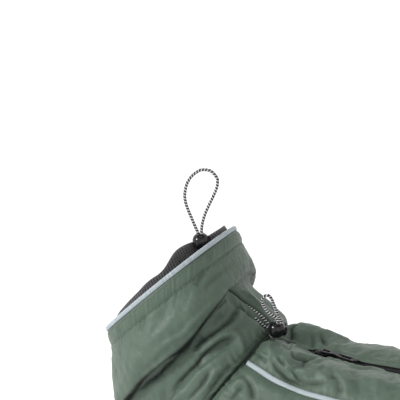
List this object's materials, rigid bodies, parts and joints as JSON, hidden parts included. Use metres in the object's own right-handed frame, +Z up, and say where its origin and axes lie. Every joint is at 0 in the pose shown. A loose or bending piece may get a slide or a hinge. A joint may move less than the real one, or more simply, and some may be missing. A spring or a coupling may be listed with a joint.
{
  "type": "dog winter coat",
  "caption": "Padded winter coat for a dog with a high double collar, back zip, reflective piping, drawcords and locks, in its worn hollow form.",
  "frame": {"origin": "inside of the coat's back at the withers, on the middle plane", "axes": "the wearer faces -X, +Y is its right side, and +Z is up"},
  "size_m": [0.6411, 0.2059, 0.4132],
  "materials": {
    "shell": "satin",
    "knit": "matt",
    "reflective": "satin",
    "tape": "matt",
    "plastic": "gloss",
    "metal": "satin",
    "cord": "matt"
  },
  "bodies": {
    "coat": {"back_left": "shell", "back_right": "shell", "chest_panel": "shell", "collar_lining": "knit", "collar_piping": "reflective", "collar_shell": "shell", "cord_button_base": "metal", "cord_button_top": "metal", "cord_lock_base": "plastic", "cord_lock_top": "plastic", "cord_loop_base": "cord", "cord_loop_top": "cord", "side_panel_left": "shell", "side_panel_right": "shell", "side_piping_left": "reflective", "side_piping_right": "reflective", "zip_slider": "metal", "zip_tape": "tape"},
    "pull_tab": {"zip_pull": "metal"}
  },
  "joints": [
    {"name": "pull_hinge", "type": "hinge", "parent": "coat", "child": "pull_tab", "pos_m": [0.00323, 0, 0.00532], "axis": [0, -1, 0], "range_deg": [0, 150]}
  ]
}
